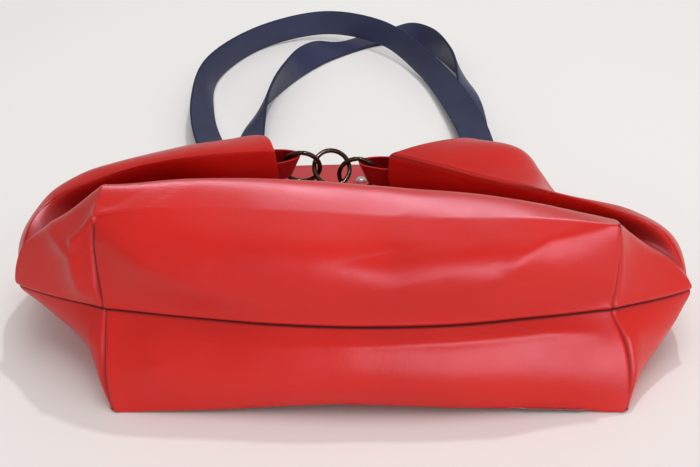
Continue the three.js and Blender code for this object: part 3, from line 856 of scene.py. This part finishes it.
# Materials
class Nodes:
    """A material's node tree, with a short way to add and join nodes."""

    def __init__(self, name):
        self.material = bpy.data.materials.new(name)
        self.material.use_nodes = True
        self.tree = self.material.node_tree
        self.shader = self.tree.nodes["Principled BSDF"]

    def add(self, kind, inputs=None, **settings):
        node = self.tree.nodes.new(kind)
        for key, value in settings.items():
            setattr(node, key, value)
        for key, value in (inputs or {}).items():
            if isinstance(value, bpy.types.NodeSocket):
                self.tree.links.new(value, node.inputs[key])
            else:
                node.inputs[key].default_value = value
        return node

    def place(self):
        return self.add("ShaderNodeTexCoord").outputs["Object"]

    def noise(self, scale, detail=2.0, roughness=0.5):
        node = self.add("ShaderNodeTexNoise", {"Vector": self.place(), "Scale": scale, "Detail": detail,
                                               "Roughness": roughness})
        return node.outputs["Fac"]

    def ramp(self, value, low, high, out_low, out_high):
        node = self.add("ShaderNodeMapRange", {"Value": value, "From Min": low, "From Max": high,
                                               "To Min": out_low, "To Max": out_high})
        return node.outputs["Result"]

    def mix(self, share, first, second):
        node = self.add("ShaderNodeMix", data_type="RGBA")
        for socket, value in ((node.inputs[0], share), (node.inputs[6], first), (node.inputs[7], second)):
            if isinstance(value, bpy.types.NodeSocket):
                self.tree.links.new(value, socket)
            else:
                socket.default_value = value
        return node.outputs[2]

    def set(self, **inputs):
        for key, value in inputs.items():
            socket = self.shader.inputs[key.replace("_", " ")]
            if isinstance(value, bpy.types.NodeSocket):
                self.tree.links.new(value, socket)
            else:
                socket.default_value = value
        return self.material


# Scales of the patterns, counted a metre, and the ranges in which they act
TONE_SCALE = 9
GRAIN_SCALE = 850
CREASE_SCALE = 140
GLOSS_SCALE = 35
NAP_TONE_SCALE = 220
NAP_SCALE = 1800
RUB_SCALE = 300
SCRATCH_SCALE = 900
SHINE_SCALE = 160
TONE_RANGE = (0.35, 0.65)
GLOSS_RANGE = (0.3, 0.7)
RUB_RANGE = (0.5, 0.75)
SHADE_AND_EDGE_RANGE = (0.1, 0.9)
SHADE_AND_EDGE_ROUGHNESS = 0.95


def leather(name, colour, deep, shade_and_edge_attribute, shade, gloss, grain_height):
    """Smooth leather: a slow change of colour, a second colour laid on by an attribute, fine grain and uneven
    gloss.
    """
    n = Nodes(name)
    tone = n.mix(n.ramp(n.noise(TONE_SCALE, 3), *TONE_RANGE, 0, 1), colour, deep)
    # The attribute lays on the second colour: painted shade and dark seam lines on the panels, a painted
    # highlight on the tab edges, dark edge paint on the straps
    edge = n.add("ShaderNodeAttribute", attribute_name=shade_and_edge_attribute).outputs["Fac"]
    tone = n.mix(n.ramp(edge, *SHADE_AND_EDGE_RANGE, 0, 1), tone, shade)
    cells = n.add("ShaderNodeTexVoronoi", {"Vector": n.place(), "Scale": GRAIN_SCALE}, feature="SMOOTH_F1")
    grain = n.add("ShaderNodeBump", {"Height": cells.outputs["Distance"], "Strength": 0.5,
                                     "Distance": grain_height})
    soft = n.add("ShaderNodeBump", {"Height": n.noise(CREASE_SCALE, 3), "Strength": 0.25, "Distance": 0.0005,
                                    "Normal": grain.outputs["Normal"]})
    rough = n.ramp(n.noise(GLOSS_SCALE, 3), *GLOSS_RANGE, *gloss)
    rough = n.ramp(edge, *SHADE_AND_EDGE_RANGE, rough, SHADE_AND_EDGE_ROUGHNESS)
    return n.set(Base_Color=tone, Roughness=rough, Specular_IOR_Level=0.32, Coat_Weight=0.05,
                 Coat_Roughness=0.25, Normal=soft.outputs["Normal"])


def suede(name, colour, deep):
    """The flesh side of the leather: matt, with a fine nap."""
    n = Nodes(name)
    tone = n.mix(n.ramp(n.noise(NAP_TONE_SCALE, 4), *TONE_RANGE, 0, 1), colour, deep)
    nap = n.add("ShaderNodeBump", {"Height": n.noise(NAP_SCALE, 2), "Strength": 0.4, "Distance": 0.0003})
    return n.set(Base_Color=tone, Roughness=0.9, Sheen_Weight=0.3, Normal=nap.outputs["Normal"])


def metal(name, colour, worn, gloss):
    """Plated metal with faint rubbing marks."""
    n = Nodes(name)
    rubbed = n.ramp(n.noise(RUB_SCALE, 4), *RUB_RANGE, 0, 1)
    scratch = n.add("ShaderNodeBump", {"Height": n.noise(SCRATCH_SCALE, 3), "Strength": 0.08,
                                       "Distance": 0.0002})
    rough = n.ramp(n.noise(SHINE_SCALE, 3), *GLOSS_RANGE, *gloss)
    return n.set(Base_Color=n.mix(rubbed, colour, worn), Metallic=1.0, Roughness=rough,
                 Normal=scratch.outputs["Normal"])


RED = (0.53, 0.011, 0.0065, 1)
RED_DEEP = (0.47, 0.009, 0.005, 1)
# Colour of the painted shade in the side folds and beneath the lap, and of the dark seam lines, partly dark
# joints and partly painted shade
RED_SHADE = (0.09, 0.0015, 0.001, 1)
# The tabs are a darker copy of the red leather, painted shade, and their edges a lighter red near the
# leather's own, a painted highlight
TAB_SHADED_RED = (0.36, 0.008, 0.0055, 1)
TAB_SHADED_DEEP = (0.28, 0.006, 0.004, 1)
TAB_EDGE_HIGHLIGHT = (0.5, 0.03, 0.028, 1)
NAVY = (0.034, 0.04, 0.09, 1)
NAVY_DEEP = (0.025, 0.03, 0.07, 1)
NAVY_EDGE = (0.022, 0.026, 0.054, 1)
INSIDE_RED = (0.30, 0.016, 0.014, 1)
INSIDE_DEEP = (0.22, 0.011, 0.01, 1)
BLACK_NICKEL = (0.06, 0.043, 0.032, 1)
BLACK_NICKEL_WORN = (0.14, 0.11, 0.085, 1)
SATIN_NICKEL = (0.78, 0.78, 0.79, 1)
SATIN_NICKEL_WORN = (0.66, 0.66, 0.67, 1)

red_leather = leather("red_leather", RED, RED_DEEP, "shade", RED_SHADE,
                      gloss=(0.31, 0.41), grain_height=0.00008)
red_inside = suede("red_inside", INSIDE_RED, INSIDE_DEEP)
# Tab leather: painted shade on the faces and a painted highlight along the edges
shaded_red_tab = leather("shaded_red_tab", TAB_SHADED_RED, TAB_SHADED_DEEP, "band_edge", TAB_EDGE_HIGHLIGHT,
                  gloss=(0.36, 0.48), grain_height=0.00012)
navy_leather = leather("navy_leather", NAVY, NAVY_DEEP, "band_edge", NAVY_EDGE,
                       gloss=(0.42, 0.55), grain_height=0.00015)
black_nickel = metal("black_nickel", BLACK_NICKEL, BLACK_NICKEL_WORN, gloss=(0.14, 0.26))
satin_nickel = metal("satin_nickel", SATIN_NICKEL, SATIN_NICKEL_WORN, gloss=(0.34, 0.46))

surface = make_surface()
shape_leather(surface)
pieces = [
    add_panel("front_panel", surface, surface["front"], -1, [red_leather, red_inside]),
    add_panel("back_panel", surface, surface["back"], 1, [red_leather, red_inside]),
    add_tab("tab_left", TAB_LEFT, shaded_red_tab),
    add_tab("tab_right", TAB_RIGHT, shaded_red_tab),
    *[add_ring(ring, black_nickel) for ring in RINGS],
    add_strap("handle_front", HANDLE_FRONT, navy_leather),
    add_strap("handle_back", HANDLE_BACK, navy_leather),
    add_stud(satin_nickel),
]

# Floor, light and camera
FLOOR_COLOUR = (0.93, 0.915, 0.9, 1)
FLOOR_ROUGHNESS = 0.7
FLOOR_HALF = 9
FLOOR_DROP = 0.0004
WORLD_COLOUR = (1.0, 0.985, 0.97, 1)
WORLD_STRENGTH = 0.46
LIT_PLACE = (0, 0, 0.05)
SHEEN_COLOUR = (0.78, 0.8, 1.0)
CAMERA_SENSOR = 36
CAMERA_LENS = 49.47
CAMERA_PLACE = (-0.010, -0.630, 0.488)
CAMERA_TILT = 55

floor_mesh = bpy.data.meshes.new("floor")
floor_corners = ((-FLOOR_HALF, -FLOOR_HALF), (FLOOR_HALF, -FLOOR_HALF),
                 (FLOOR_HALF, FLOOR_HALF), (-FLOOR_HALF, FLOOR_HALF))
floor_mesh.from_pydata([(x, y, -FLOOR_DROP) for x, y in floor_corners], [], [(0, 1, 2, 3)])
floor_nodes = Nodes("floor")
floor_mesh.materials.append(floor_nodes.set(Base_Color=FLOOR_COLOUR, Roughness=FLOOR_ROUGHNESS))
floor = bpy.data.objects.new("floor", floor_mesh)
bpy.context.scene.collection.objects.link(floor)

world = bpy.data.worlds.new("studio")
world.use_nodes = True
background = world.node_tree.nodes["Background"]
background.inputs["Color"].default_value = WORLD_COLOUR
background.inputs["Strength"].default_value = WORLD_STRENGTH
bpy.context.scene.world = world

# Pieces that a light may fall on alone: the whole bag, its front panel, and the metal pieces
lit_from_front = bpy.data.collections.new("lit_from_front")
for piece in pieces:
    lit_from_front.objects.link(piece)
front_alone = bpy.data.collections.new("front_alone")
front_alone.objects.link(pieces[0])
metal_alone = bpy.data.collections.new("metal_alone")
for piece in pieces:
    if piece.name.startswith(("ring", "front_stud")):
        metal_alone.objects.link(piece)


def add_light(name, at, size, watts, colour=(1, 1, 1), glossy=True, diffuse=True, only=None):
    """A rectangular lamp turned to the bag, which can be kept to some pieces and to one kind of light."""
    light = bpy.data.lights.new(name, "AREA")
    light.shape = "RECTANGLE"
    light.size, light.size_y = size
    light.energy = watts
    light.color = colour
    lamp = bpy.data.objects.new(name, light)
    lamp.location = at
    lamp.rotation_euler = (Vector(LIT_PLACE) - Vector(at)).to_track_quat("-Z", "Y").to_euler()
    lamp.visible_glossy = glossy
    lamp.visible_diffuse = diffuse
    if only:
        lamp.light_linking.receiver_collection = only
    bpy.context.scene.collection.objects.link(lamp)


add_light("key", at=(0.32, 0.74, 2.15), size=(0.07, 0.07), watts=10, glossy=False)
add_light("overhead", at=(0.2, -0.1, 2.4), size=(1.6, 1.6), watts=20, glossy=False)
add_light("front_soft", at=(1.25, -2.25, 0.8), size=(1.2, 1.2), watts=45, glossy=False, only=lit_from_front)
add_light("front_sheen", at=(1.2, -2.35, 0.65), size=(2.6, 1.1), watts=58, colour=SHEEN_COLOUR,
          diffuse=False, only=lit_from_front)
add_light("crest_sheen", at=(0.02, 1.42, 1.75), size=(3.0, 0.6), watts=84, colour=SHEEN_COLOUR,
          diffuse=False, only=front_alone)
add_light("metal_spark", at=(0.35, -0.35, 1.5), size=(0.12, 0.12), watts=9, diffuse=False, only=metal_alone)

camera_data = bpy.data.cameras.new("camera")
camera_data.sensor_width = CAMERA_SENSOR
camera_data.lens = CAMERA_LENS
camera = bpy.data.objects.new("camera", camera_data)
camera.location = CAMERA_PLACE
camera.rotation_euler = (math.radians(CAMERA_TILT), 0, 0)
bpy.context.scene.collection.objects.link(camera)
bpy.context.scene.camera = camera
bpy.context.scene.view_settings.view_transform = "Standard"
